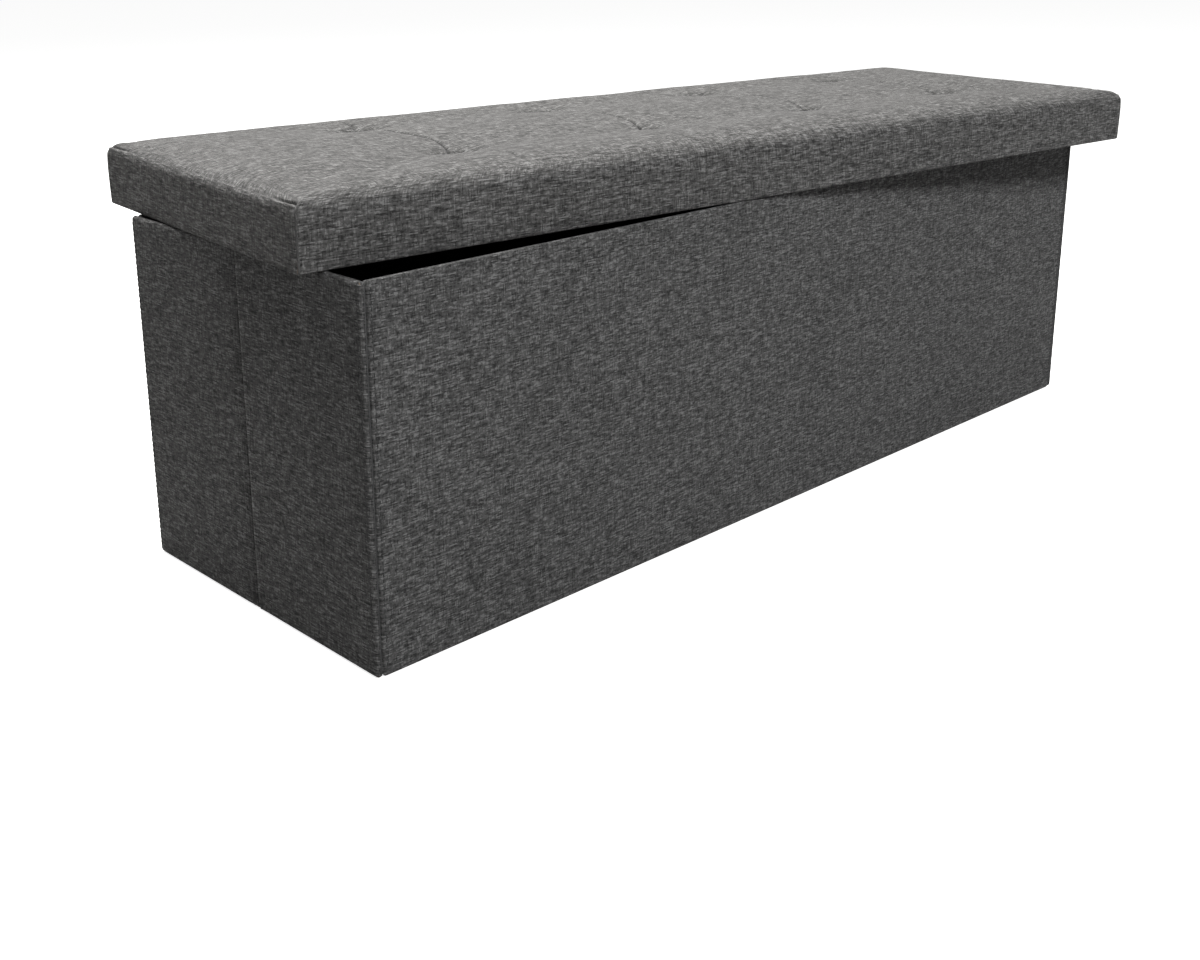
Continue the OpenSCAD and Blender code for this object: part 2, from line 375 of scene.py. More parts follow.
def add_mesh(name, points, faces, cloth, material, marks=None, panel=None):
    """A piece from points and faces. cloth places its weave; marks is painted shade and painted
    highlight, darkening or lightening folds and seams;
    panel is (which faces, their own cloth places) for a panel cut in another direction."""
    mesh = bpy.data.meshes.new(name)
    mesh.from_pydata([tuple(p) for p in points], [], faces)
    mesh.materials.append(material)
    layer = mesh.uv_layers.new(name="cloth")
    corners = np.zeros(len(mesh.loops), np.int32)
    mesh.loops.foreach_get("vertex_index", corners)
    places = np.asarray(cloth, np.float32)[corners]
    if panel is not None:
        turned = np.repeat(panel[0], [len(face) for face in faces])
        places[turned] = np.asarray(panel[1], np.float32)[corners[turned]]
    layer.data.foreach_set("uv", places.ravel())
    if marks is not None:
        attribute = mesh.attributes.new("marks", "FLOAT", "POINT")
        attribute.data.foreach_set("value", np.asarray(marks, np.float32))
    mesh.shade_smooth()
    mesh.validate()
    piece = bpy.data.objects.new(name, mesh)
    scene.collection.objects.link(piece)
    return piece


def closed_sheet_faces(shape, flip=False):
    """Faces of a closed sheet made of two grids of this shape and the edge between them."""
    count = shape[0] * shape[1]
    loop = outline(np.arange(count).reshape(shape))
    edge = ring_faces(loop, loop + count)
    faces = grid_faces(*shape, 0, flip) + grid_faces(*shape, count, not flip)
    return faces + ([face[::-1] for face in edge] if flip else edge)


def fuzz(x, y, z, scale):
    """Smooth seeded noise for arrays of places, about -1 to 1."""
    flat = zip(np.ravel(x) / scale, np.ravel(y) / scale)
    return np.array([noise.noise(Vector((a, b, z))) for a, b in flat]).reshape(np.shape(x))


def bell(away, width):
    """1 at no distance, falling smoothly to 0."""
    return np.exp(-((away / width) ** 2))


class Wall:
    """One wall panel's outside face: where it starts, and its directions across, up and out."""

    def __init__(self, start, across, out, width, height):
        self.start, self.across, self.out = np.array(start), np.array(across), np.array(out)
        self.up = np.array((0.0, 0.0, 1.0))
        self.width, self.height = width, height

    def at(self, u, v, deep):
        u, v, deep = np.broadcast_arrays(u, v, deep)
        return (
            self.start
            + u[..., None] * self.across
            + v[..., None] * self.up
            - deep[..., None] * self.out
        ).reshape(-1, 3)


def slab(name, wall, material, inset, near, far, edge, radii, pitch, dent, cloth_start, fine=()):
    """A closed sheet over one wall from depth near to depth far, with rolled edges.
    dent(u, v) is how far the near face sinks at each place."""
    rim = inset + edge
    r = [max(radius - rim, 0.8 * MM) for radius in radii]
    us = steps(rim, wall.width - rim, pitch, fine, 1.2 * MM, 13 * MM)
    us = with_corner(us, max(r[0], r[3]), max(r[1], r[2]))
    vs = with_corner(steps(rim, wall.height - rim, pitch), max(r[0], r[1]), max(r[2], r[3]))
    u, v, loop, away = rounded_grid(us, vs, r)
    sink = dent(u, v)
    points = [wall.at(u, v, near + sink)]
    cloth = [np.stack([u.ravel(), v.ravel()], 1)]
    faces = grid_faces(len(us), len(vs))
    rim_u, rim_v, rim_sink = u.ravel()[loop], v.ravel()[loop], sink.ravel()[loop]
    last, count = loop, u.size
    # Rings of the rolled edge: how far outward, how deep, and the run of cloth.
    angles = np.radians([18, 36, 54, 72, 90])
    profile = [(edge * math.sin(a), near + edge * (1 - math.cos(a)), edge * a) for a in angles]
    back_edge = min(edge, (far - near) * 0.35)
    run_back = edge * PI / 2 + far - near
    profile += [(edge, far - back_edge, run_back - edge)]
    profile += [
        (edge - back_edge * (1 - math.cos(a)), far - back_edge * (1 - math.sin(a)), run_back)
        for a in np.radians([30, 60, 90])
    ]
    for outward, deep, run in profile:
        fade = max(0.0, 1 - (deep - near) / edge)
        ring_u, ring_v = rim_u + away[:, 0] * outward, rim_v + away[:, 1] * outward
        points.append(wall.at(ring_u, ring_v, deep + rim_sink * fade))
        cloth.append(np.stack([rim_u + away[:, 0] * run, rim_v + away[:, 1] * run], 1))
        ring = np.arange(count, count + len(loop))
        faces += ring_faces(last, ring)
        last, count = ring, count + len(loop)
    inside = np.setdiff1d(np.arange(u.size), loop)
    inside_u, inside_v = u.ravel()[inside], v.ravel()[inside]
    place = np.zeros(u.size, np.int64)
    place[inside] = count + np.arange(len(inside))
    place[loop] = last
    points.append(wall.at(inside_u, inside_v, far))
    cloth.append(np.stack([inside_u, inside_v], 1))
    faces += place[np.array(grid_faces(len(us), len(vs), flip=True))].tolist()
    cloth = np.concatenate(cloth) + cloth_start
    return add_mesh(name, np.concatenate(points), faces, cloth, material)


# ---------------------------------------------------------------- walls

# Corner radii where an edge is sewn and where it isn't, and the radius of each cover's rolled edge.
SEWN_ROUND, FREE_ROUND = 3 * MM, 1 * MM
EDGE_LONG, EDGE_END = 2.2 * MM, 3.5 * MM
# Thickness of each kind of wall, and the share of it that the cover wraps.
LONG_THICK, END_THICK = 6.0 * MM, 5.2 * MM
LONG_SHARE, END_SHARE = 0.55, 0.78
# Room between a long wall's cover and the corner seams.
LONG_ROOM = 0.6 * MM
# The lining stands proud of the board's inside face, and laps the cover.
LINING_PROUD, LINING_LAP, LINING_INSET = 0.3 * MM, 0.4 * MM, 0.8 * MM
WAVE, LINING_WAVE, CREASE_FALL = 0.45 * MM, 0.3 * MM, 0.9 * MM


def wall_of(node, out):
    """The wall whose cover is this CAD node, facing out."""
    a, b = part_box(node)
    out = np.array(out, float)
    across = np.cross((0, 0, 1), out)
    start = np.array([0.0, 0.0, a.z])
    for i in (0, 1):
        if abs(out[i]) > 0.5:
            start[i] = b[i] if out[i] > 0 else a[i]
        else:
            start[i] = a[i] if across[i] > 0 else b[i]
    size = (b.x - a.x) if abs(across[0]) > 0.5 else (b.y - a.y)
    return Wall(start, across, out, size, b.z - a.z)


def slack(seed, amount, wall, pucker_edges=(), crease=None, crease_fall=0.0):
    """How far a stretched cover sinks and swells: broad waves, small tucks along sewn edges,
    and a fall towards the crease."""

    def dent(u, v):
        wave = fuzz(u, v, seed, 0.16) * amount + fuzz(u * 0.5, v, seed + 3, 0.035) * amount * 0.35
        edge = np.minimum(np.minimum(u, wall.width - u), np.minimum(v, wall.height - v))
        wave *= 1 - bell(edge, 12 * MM)
        for at in pucker_edges:
            reach = bell(u - at, 9 * MM)
            phase = v / (9 * MM) * 2 * PI + 3 * fuzz(u, v, seed + 5, 0.05)
            wave += reach * (0.5 + 0.5 * np.sin(phase)) * 0.28 * MM
        if crease is not None:
            share = np.clip((10.5 * MM - np.abs(u - crease)) / (3 * MM), 0, 1)
            wave += crease_fall * share * share * (3 - 2 * share)
        return wave

    return dent


WALLS = [
    # name, body, outward direction, seed, where along the cloth it starts, which edges are sewn
    ("front", "front_wall", (0, -1, 0), 1.0, (0.0, 0.0), (True, True)),
    ("back", "back_wall", (0, 1, 0), 2.0, (1.7, 0.0), (True, True)),
    ("left_rear", "left_rear_half", (-1, 0, 0), 3.0, (3.4, 0.0), (True, False)),
    ("left_front", "left_front_half", (-1, 0, 0), 4.0, (3.5754, 0.0), (False, True)),
    ("right_front", "right_front_half", (1, 0, 0), 5.0, (4.4, 0.0), (True, False)),
    ("right_rear", "right_rear_half", (1, 0, 0), 6.0, (4.5754, 0.0), (False, True)),
]
walls = {}
for name, body, out, seed, cloth_start, sewn in WALLS:
    wall = walls[name] = wall_of(name + "_cover", out)
    full = wall_of(name + "_cover", out)
    flat = (full.width, full.height)
    long_wall = abs(out[1]) > 0.5
    if long_wall:
        wall.start = wall.start + wall.across * LONG_ROOM
        wall.width -= 2 * LONG_ROOM
    thick = LONG_THICK if long_wall else END_THICK
    split = thick * (LONG_SHARE if long_wall else END_SHARE)
    left, right = (SEWN_ROUND if on else FREE_ROUND for on in sewn)
    edges = [x for x, on in ((0.0, sewn[0]), (wall.width, sewn[1])) if on]
    crease = None if long_wall else (0.0 if not sewn[0] else wall.width)
    cover = slab(
        name + "_linen", wall, LINEN, 0, 0, split, EDGE_LONG if long_wall else EDGE_END,
        (left, right, right, left), 9 * MM, slack(seed, WAVE, wall, edges, crease, CREASE_FALL),
        cloth_start, fine=() if long_wall else (crease,),
    )
    wall.loose = slack(seed, WAVE, wall, edges)
    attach(cover, body)
    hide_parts(name + "_cover")
    # The lining is the same panel seen from inside: depth runs from its own face outwards.
    deep = thick + LINING_PROUD
    corner = full.start + full.across * full.width - full.out * deep
    inner = Wall(corner, -full.across, -full.out, *flat)
    lining = slab(
        name + "_black_lining", inner, LINING, LINING_INSET, 0, deep - split + LINING_LAP, 1 * MM,
        (right, left, left, right), 12 * MM, slack(seed + 20, LINING_WAVE, wall),
        (cloth_start[0] * 0.5, 2),
    )
    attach(lining, body)
    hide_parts(name + "_lining")

# ---------------------------------------------------------------- creases of the end panels


def crease_strip(side, cloth_u):
    """The cover's cloth where it runs across the crease in the middle of an end panel.
    The front half's cloth laps a little proud of the rear half's."""
    rear, front = walls[side + "_rear"], walls[side + "_front"]
    out_x = rear.out[0]
    face_x = rear.start[0]
    reach = 11 * MM
    half = np.concatenate([np.arange(0, 5, 0.5), np.arange(5, 11.01, 1.0)]) * MM
    ys = np.concatenate([-half[:0:-1], half])
    zs = steps(1.2 * MM, rear.height - 0.5 * MM, 9 * MM)
    y, z = np.meshgrid(ys, zs, indexing="ij")
    from_crease = np.abs(y)
    on_rear = np.where(rear.across[1] < 0, rear.width - from_crease, from_crease)
    on_front = np.where(rear.across[1] < 0, from_crease, front.width - from_crease)
    loose = np.where(y > 0, rear.loose(on_rear, z), front.loose(on_front, z))
    line = y - fuzz(y * 0, z, 9, 0.05) * 0.7 * MM
    valley = bell(line - 4.6 * MM, 3.8 * MM)
    fold = bell(line - 0.8 * MM, 1.0 * MM)
    crest = bell(line + 1.7 * MM, 1.7 * MM)
    deep = loose - 0.06 * MM + 0.5 * MM * valley + 0.75 * MM * fold - 0.4 * MM * crest
    deep += np.where(from_crease > reach - 0.5 * MM, 0.4 * MM, 0)
    # The strip bends down with the covers at the rim and at the foot.
    end = np.minimum(z, rear.height - z)
    short = 1 - np.minimum(end, EDGE_END) / EDGE_END
    deep += EDGE_END * (1 - np.sqrt(np.clip(1 - short**2, 0, 1)))
    # Painted shade in the valley and the fold, and a painted highlight on the crest.
    marks = 0.3 * valley + 0.45 * fold - 0.55 * crest
    points = [
        np.stack([face_x - out_x * (deep + extra), y, z], -1).reshape(-1, 3)
        for extra in (0.0, 0.5 * MM)
    ]
    cloth = np.stack([cloth_u + out_x * y, z], -1).reshape(-1, 2)
    strip = add_mesh(
        side + "_crease_cloth", np.concatenate(points), closed_sheet_faces(y.shape, out_x < 0),
        np.tile(cloth, (2, 1)), LINEN, np.tile(marks.ravel(), 2),
    )
    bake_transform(strip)


crease_strip("left", 3.575)
crease_strip("right", 4.575)

# ---------------------------------------------------------------- stitches


def capsule_rows(name, starts, directions, outs, length, radius):
    """Many small thread stitches as one mesh."""
    around, rings = 6, [(-0.5, 0.0), (-0.46, 0.7), (-0.3, 1.0), (0.3, 1.0), (0.46, 0.7), (0.5, 0.0)]
    points, faces, cloth = [], [], []
    for k, (start, along, out) in enumerate(zip(starts, directions, outs)):
        start, along, out = np.array(start), np.array(along), np.array(out)
        side = np.cross(along, out)
        base = k * around * len(rings)
        for i, (place, size) in enumerate(rings):
            for j in range(around):
                turn = 2 * PI * j / around
                bow = (0.25 - place * place) * radius * 1.5
                away = math.cos(turn) * side + math.sin(turn) * out
                p = start + along * place * length + away * radius * max(size, 0.02)
                points.append(p + out * bow)
                cloth.append((place * length + k * 0.01, turn * radius))
        for i in range(len(rings) - 1):
            for j in range(around):
                a, b = base + i * around + j, base + i * around + (j + 1) % around
                faces.append((a, b, b + around, a + around))
        faces.append(tuple(base + j for j in range(around))[::-1])
        faces.append(tuple(base + (len(rings) - 1) * around + j for j in range(around)))
    return add_mesh(name, points, faces, cloth, THREAD)


STITCH_PITCH, STITCH_LONG, STITCH_THICK = 5.2 * MM, 3.4 * MM, 0.42 * MM
STITCH_SUNK = 0.05 * MM
FIRST_STITCH, LAST_STITCH = 11 * MM, 6 * MM  # from the foot and from the rim
# The rows of the two halves of an end lie beside each other when they fold.
ROW_INSET, FRONT_HALF_INSET = 3.6 * MM, 5.0 * MM
for name, body, _, _, _, sewn in WALLS:
    wall = walls[name]
    starts, directions, outs = [], [], []
    inset = FRONT_HALF_INSET if body.endswith("front_half") else ROW_INSET
    for on, u in ((sewn[0], inset), (sewn[1], wall.width - inset)):
        if not on:
            continue
        v = FIRST_STITCH
        while v < wall.height - LAST_STITCH:
            starts.append(wall.at(np.array(u), np.array(v), np.array(STITCH_SUNK))[0])
            directions.append((0, 0, 1))
            outs.append(wall.out)
            v += STITCH_PITCH
    stitches = capsule_rows(name + "_stitches", starts, directions, outs, STITCH_LONG, STITCH_THICK)
    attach(stitches, body)

# ---------------------------------------------------------------- lid

board = np.array([v.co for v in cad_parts["lid_board"].data.vertices], float)
lid_centre = (board.min(0) + board.max(0)) / 2
spread = board[:, :2] - lid_centre[:2]
first, second = np.linalg.eigh(spread.T @ spread)[1][:, ::-1].T
first = first * np.sign(first[0])
second = np.array([-first[1], first[0]])
COVER_THICK = 1.2 * MM
HALF_X = np.abs(spread @ first).max() + COVER_THICK
HALF_Y = np.abs(spread @ second).max() + COVER_THICK
LID_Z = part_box("lid_front_band")[0].z


def lid_place(points):
    """From the lid's own frame (along it, across it, up from the hem) to the shared frame."""
    points = np.asarray(points, float).reshape(-1, 3)
    flat = lid_centre[:2] + points[:, :1] * first + points[:, 1:2] * second
    return np.column_stack([flat, points[:, 2] + LID_Z])


TUFT_PITCH_X, TUFT_PITCH_Y = 230 * MM, 174 * MM
TUFT_SHIFT_X, TUFT_SHIFT_Y = 18 * MM, 24 * MM
COLUMNS = [TUFT_SHIFT_X + TUFT_PITCH_X * (i - 1.5) for i in range(4)]
ROWS = [TUFT_SHIFT_Y + TUFT_PITCH_Y * (i - 0.5) for i in range(2)]

TOP_INSET, TOP_RADIUS = 13 * MM, 9 * MM
TOP_EDGE, CROWN = 58.0 * MM, 2.4 * MM
# The top's rounded edge, in steps that are finest round the seam.
ARC_RADIUS = 12.6 * MM
ARC = np.radians([9, 18, 27, 35, 41, 46, 51, 57, 65, 74, 82, 90])
# Each ring of the lid's shell: how far inside the widest outline, height, and corner radius.
RINGS = [
    (
        TOP_INSET - ARC_RADIUS * math.sin(a),
        TOP_EDGE - ARC_RADIUS * (1 - math.cos(a)),
        TOP_RADIUS - 6 * MM * math.sin(a),
    )
    for a in ARC
]
SIDE_RINGS = [(0.1, 38), (0, 31), (0, 24), (0, 17), (0.05, 10), (0.1, 5), (0.2, 2.4)]
TURN_RINGS = [(0.4, 1.2), (0.75, 0.5), (1.3, 0.12), (2.4, 0), (4.6, 0)]
TURN_RINGS += [(7.4, 0.05), (8.3, 0.3), (8.8, 1), (8.9, 4)]
HEM_RINGS = [(8.9, 12), (8.9, 22), (8.8, 30), (8.2, 30.6), (8.05, 29), (8.05, 0.75)]
HEM_RINGS += [(1.15, 0.75), (1.15, 20), (1.15, 40)]
for rings, radius in ((SIDE_RINGS, 3), (TURN_RINGS, 2.6), (HEM_RINGS, 2)):
    RINGS += [(i * MM, z * MM, radius * MM) for i, z in rings]
OUTSIDE_RINGS = len(ARC) + 2


def crown(x, y):
    """The top's height before tufting."""
    a, b = HALF_X - TOP_INSET, HALF_Y - TOP_INSET
    return TOP_EDGE + CROWN * (1 - np.abs(x / a) ** 4) * (1 - np.abs(y / b) ** 2.2)


def lid_shell(xs, ys, rings):
    """Points of the lid's top grid and rings in its own frame, with faces, cloth places, outward
    directions, runs of cloth from the top, the last ring, and how many points each ring has."""
    a, b, r = HALF_X - TOP_INSET, HALF_Y - TOP_INSET, TOP_RADIUS
    x, y, loop, away = rounded_grid(xs, ys, [r] * 4)
    raw_x, raw_y = np.meshgrid(xs, ys, indexing="ij")
    tx = np.clip(raw_x.ravel()[loop] / (a - r), -1, 1)
    ty = np.clip(raw_y.ravel()[loop] / (b - r), -1, 1)
    points = [np.stack([x, y, crown(x, y)], -1).reshape(-1, 3)]
    cloth = [points[0][:, :2]]
    runs = [np.zeros(x.size)]
    faces = grid_faces(len(xs), len(ys))
    outward = [np.zeros((x.size, 2))]
    last, count, run = loop, x.size, 0.0
    before = points[0][loop]
    for inset, z, radius in rings:
        ax, by = HALF_X - inset, HALF_Y - inset
        px = tx * (ax - radius) + radius * away[:, 0]
        py = ty * (by - radius) + radius * away[:, 1]
        now = np.stack([px, py, np.full(len(loop), z)], 1)
        run += float(np.median(np.linalg.norm(now - before, axis=1)))
        points.append(now)
        cloth.append(points[0][loop][:, :2] + away * run)
        runs.append(np.full(len(loop), run))
        outward.append(away)
        ring = np.arange(count, count + len(loop))
        faces += ring_faces(last, ring)
        last, count, before = ring, count + len(loop), now
    points, cloth, outward, runs = (np.concatenate(part) for part in (points, cloth, outward, runs))
    return points, faces, cloth, outward, runs, last, len(loop)


SIM_PITCH, SIM_FRAMES = 11 * MM, 22
SIM_RINGS = (1, 3, 5, 7, 9, 11, 12, 13)
MOST_SWELL = 6 * MM


def coarse_places(half, tufts):
    """The coarse cover's places along one direction, with one at each tuft."""
    places = steps(-half + TOP_INSET, half - TOP_INSET, SIM_PITCH)
    return np.unique(np.concatenate([with_corner(places, TOP_RADIUS, TOP_RADIUS, 2), tufts]).round(5))


def simulate_lid():
    """A coarse cover, blown up but held at its lower edge and tufts: rest shape, faces, movement."""
    xs, ys = coarse_places(HALF_X, COLUMNS), coarse_places(HALF_Y, ROWS)
    rest, faces, cloth, _, _, _, loop = lid_shell(xs, ys, [RINGS[i] for i in SIM_RINGS])
    start = rest.copy()
    held = np.zeros(len(rest), bool)
    held[-2 * loop:] = True
    for cx in COLUMNS:
        for cy in ROWS:
            near = np.hypot((start[:, 0] - cx) / 1.5, start[:, 1] - cy)
            top = start[:, 2] > TOP_EDGE - 1 * MM
            start[:, 2] -= np.where(top, 6 * MM * bell(near, 14 * MM), 0)
            held |= top & (near < 3 * MM)
    piece = add_mesh("lid_simulation", start, faces, cloth, LID_LINEN)
    group = piece.vertex_groups.new(name="held")
    group.add([int(i) for i in np.nonzero(held)[0]], 1.0, "REPLACE")
    modifier = piece.modifiers.new("cloth", "CLOTH")
    cloth_settings = modifier.settings
    cloth_settings.quality = 6
    cloth_settings.mass = 0.25
    cloth_settings.tension_stiffness = cloth_settings.compression_stiffness = 60
    cloth_settings.shear_stiffness = 12
    cloth_settings.bending_stiffness = 0.6
    cloth_settings.tension_damping = cloth_settings.compression_damping = 12
    cloth_settings.use_pressure = True
    cloth_settings.uniform_pressure_force = 0.22
    cloth_settings.vertex_group_mass = "held"
    cloth_settings.effector_weights.gravity = 0
    modifier.collision_settings.use_self_collision = False
    modifier.collision_settings.use_collision = False
    modifier.point_cache.frame_start, modifier.point_cache.frame_end = 1, SIM_FRAMES
    for number in range(1, SIM_FRAMES + 1):
        scene.frame_set(number)
    evaluated = piece.evaluated_get(bpy.context.evaluated_depsgraph_get())
    end = np.zeros(len(rest) * 3, np.float32)
    evaluated.data.vertices.foreach_get("co", end)
    end = end.reshape(-1, 3).astype(float)
    scene.frame_set(1)
    mesh = piece.data
    bpy.data.objects.remove(piece)
    bpy.data.meshes.remove(mesh)
    move = end - rest
    size = np.linalg.norm(move, axis=1, keepdims=True)
    return rest, faces, move * np.minimum(1, MOST_SWELL / np.maximum(size, 1e-9))


def carried(points, rest, faces, move):
    """The coarse cover's movement at each point of the fine one."""
    tree = BVHTree.FromPolygons([tuple(p) for p in rest], faces)
    out = np.zeros_like(points)
    for i, p in enumerate(points):
        where, _, face, _ = tree.find_nearest(Vector(p))
        corners = faces[face]
        far = np.linalg.norm(rest[corners] - np.array(where), axis=1)
        weight = 1 / np.maximum(far, 1e-5) ** 2
        out[i] = (move[corners] * weight[:, None]).sum(0) / weight.sum()
    return out


def curve_groove(x, y, start, end, bow, width, fade_start, fade_end):
    """How strongly each place lies in a bowed crease from start to end, 1 on its line and 0 away
    from it, and how strongly on the two lips beside it."""
    start, end = np.array(start), np.array(end)
    line = end - start
    length = np.hypot(*line)
    along, side = line / length, np.array([line[1], -line[0]]) / length
    t = ((x - start[0]) * along[0] + (y - start[1]) * along[1]) / length
    away = (x - start[0]) * side[0] + (y - start[1]) * side[1]
    away = away - bow * 4 * t * (1 - t) * (0.6 + 0.8 * t)
    inside = np.clip(t / fade_start, 0, 1) * np.clip((1 - t) / fade_end, 0, 1)
    inside = inside * inside * (3 - 2 * inside)
    lips = bell(away - 2.6 * width, 1.9 * width) + bell(away + 2.6 * width, 1.9 * width)
    return bell(away, width) * inside, lips * inside


def tufted(x, y, dimples):
    """How far the top sinks at each place, with pits round the tufts and creases between them,
    and how much painted shade darkens the cloth there."""
    sink, marks = np.zeros_like(x), np.zeros_like(x)
    for k, cx in enumerate(COLUMNS):
        for m, cy in enumerate(ROWS):
            dx, dy = x - cx, y - cy
            angle = np.arctan2(dy, dx)
            far = np.hypot(dx / 2.1, dy)
            pleat = 1 + 0.16 * np.cos(5 * angle + k * 1.7 + m) * bell(far - 14 * MM, 11 * MM)
            pit = bell(far, 4 * MM)
            sink += dimples * 4 * MM * bell(far, 26 * MM)
            sink += 4.2 * MM * pleat * bell(far, 10 * MM) + 1.6 * MM * pit
            # Painted shade in and round each tuft's pit.
            marks += 0.34 * bell(far, 12 * MM) + 0.25 * pit
    back, front = HALF_Y - 30 * MM, -HALF_Y + 26 * MM
    c, (low, high) = COLUMNS, ROWS
    creases = [
        # start, end, bow (negative bends it to the right), strength
        ((c[0] + 8 * MM, back), (c[0] - 2 * MM, high - 6 * MM), -5 * MM, 0.7),
        ((c[0] + 1 * MM, high - 4 * MM), (c[0] - 5 * MM, low - 5 * MM), -15 * MM, 1.15),
        ((c[0] + 5 * MM, low - 16 * MM), (c[0] + 2 * MM, front), -10 * MM, 0.8),
        ((c[1] - 34 * MM, high + 12 * MM), (c[1] - 12 * MM, high - 12 * MM), 2 * MM, 0.55),
        ((c[1] + 1 * MM, high - 4 * MM), (c[1] - 6 * MM, low - 6 * MM), -14 * MM, 1.6),
        ((c[2] - 2 * MM, high - 6 * MM), (c[2] + 2 * MM, low + 4 * MM), -14 * MM, 0.55),
        ((c[3] + 2 * MM, high), (c[3], low), -6 * MM, 0.25),
    ]
    for start, end, bow, strength in creases:
        groove, lip = curve_groove(x, y, start, end, bow, 1.6 * MM, 0.12, 0.06)
        sink += strength * (1.3 * MM * groove - 0.45 * MM * lip)
        # Painted shade along each crease, and a faint painted highlight on its lips.
        marks += strength * (0.75 * groove - 0.06 * lip)
        broad, _ = curve_groove(x, y, start, end, bow, 9 * MM, 0.3, 0.15)
        sink += strength * 0.7 * MM * broad
    # Gentle unevenness of foam under cloth.
    sink -= fuzz(x, y, 14.0, 0.09) * 0.8 * MM + fuzz(x, y, 17.0, 0.03) * 0.22 * MM
    return sink, np.clip(marks, -0.3, 0.85)


SEAM_ANGLE = 46  # where the end panels' seams run on the rounded edge, in degrees


def make_lid():
    """The lid's cushion and covers as one closed form. Returns its points, its flat points and how
    many of them are the top's."""
    near_tufts = [c + 2 * MM for c in COLUMNS]
    fine_x = steps(-HALF_X + TOP_INSET, HALF_X - TOP_INSET, 7.5 * MM, near_tufts, 1.2 * MM, 27 * MM)
    fine_y = steps(-HALF_Y + TOP_INSET, HALF_Y - TOP_INSET, 4 * MM, ROWS, 2 * MM, 18 * MM)
    xs = with_corner(fine_x, TOP_RADIUS, TOP_RADIUS, 5)
    ys = with_corner(fine_y, TOP_RADIUS, TOP_RADIUS, 5)
    points, faces, cloth, outward, runs, last, loop = lid_shell(xs, ys, RINGS)
    top = len(xs) * len(ys)
    soft_end = top + OUTSIDE_RINGS * loop
    flat = points.copy()
    # The simulation makes most of the broad dimples, where it runs.
    rest, coarse, move = simulate_lid()
    points[:soft_end] += carried(flat[:soft_end], rest, coarse, move)
    dimples = 0.35
    sink, top_painted_shade = tufted(flat[:top, 0], flat[:top, 1], dimples)
    points[:top, 2] -= sink
    marks = np.concatenate([top_painted_shade, np.zeros(len(points) - top)])
    # Rings next to the top take up its unevenness, and lose it by the side.
    rim = outline(np.arange(top).reshape(len(xs), len(ys)))
    for k, angle in enumerate(ARC):
        points[top + k * loop:top + (k + 1) * loop, 2] -= sink[rim] * math.cos(angle) ** 2
    # Seams of the end panels: round each end's upper edge, and down its two corners.
    sides = outward[top:top + loop]
    side_x = np.abs(sides[:, 0])
    rounded = np.abs(sides[:, 1]) > 1e-6
    end_share = np.clip((side_x - 0.55) / 0.3, 0, 1)
    middle = np.abs(flat[top:top + loop, 1]) / HALF_Y
    stronger = 0.15 + 0.85 * np.clip((middle - 0.68) / 0.16, 0, 1)
    corner = bell(side_x - 0.72, 0.14) * rounded
    beside = bell(side_x - 0.72, 0.4) * rounded
    for k, (inset, _, _) in enumerate(RINGS):
        ring = slice(top + k * loop, top + (k + 1) * loop)
        push, line = np.zeros(loop), np.zeros(loop)
        if k < len(ARC):
            degrees = math.degrees(ARC[k])
            push -= end_share * stronger * 2.6 * MM * bell(degrees - SEAM_ANGLE, 4)
            push += end_share * stronger * 1.3 * MM * bell(degrees - 57, 6)
            push -= corner * 2.2 * MM * bell(degrees - 50, 8)
            # Painted shade along the end seam and down the corner, and a painted highlight just below
            # the seam.
            line += end_share * stronger * 0.7 * bell(degrees - SEAM_ANGLE, 5)
            line -= end_share * stronger * 0.45 * bell(degrees - 58, 4)
            line += corner * 0.5 * bell(degrees - 50, 8)
        if inset < 1.2 * MM and k < len(ARC) + len(SIDE_RINGS):
            push -= corner * 0.3 * MM
            # Painted shade down the corner seam.
            line += corner * 0.25
            push += beside * 0.35 * MM * (1 - corner)
            push += fuzz(flat[ring, 0], flat[ring, 1] + flat[ring, 2] * 1.3, 21.0, 0.07) * 0.5 * MM
        lean = math.sin(ARC[k]) if k < len(ARC) else 1.0
        points[ring, 0] += sides[:, 0] * push * lean
        points[ring, 1] += sides[:, 1] * push * lean
        points[ring, 2] += push * (1 - lean * lean) ** 0.5
        marks[ring] = line
    # The end panels are cut with their weft level, below the seam.
    across = np.column_stack([flat[:, 1] + 20, -runs])
    end_face = side_x > 0.7
    end_face &= np.roll(end_face, -1)
    seam_ring = int(np.argmin(np.abs(np.degrees(ARC) - SEAM_ANGLE)))
    panel = np.zeros(len(faces) + 1, bool)
    first_ring = (len(xs) - 1) * (len(ys) - 1)
    for k in range(seam_ring + 1, len(RINGS)):
        panel[first_ring + k * loop:first_ring + (k + 1) * loop] = end_face
    faces.append([int(i) for i in last])
    cloth = cloth + (7.0, 0.5)
    piece = add_mesh("lid_cushion", lid_place(points), faces, cloth, LID_LINEN, marks, (panel, across))
    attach(piece, "lid")
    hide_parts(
        "lid_top_cover", "lid_foam",
        "lid_front_band", "lid_back_band", "lid_left_band", "lid_right_band",
    )
    return points, flat, top


lid_points, lid_flat, lid_top = make_lid()

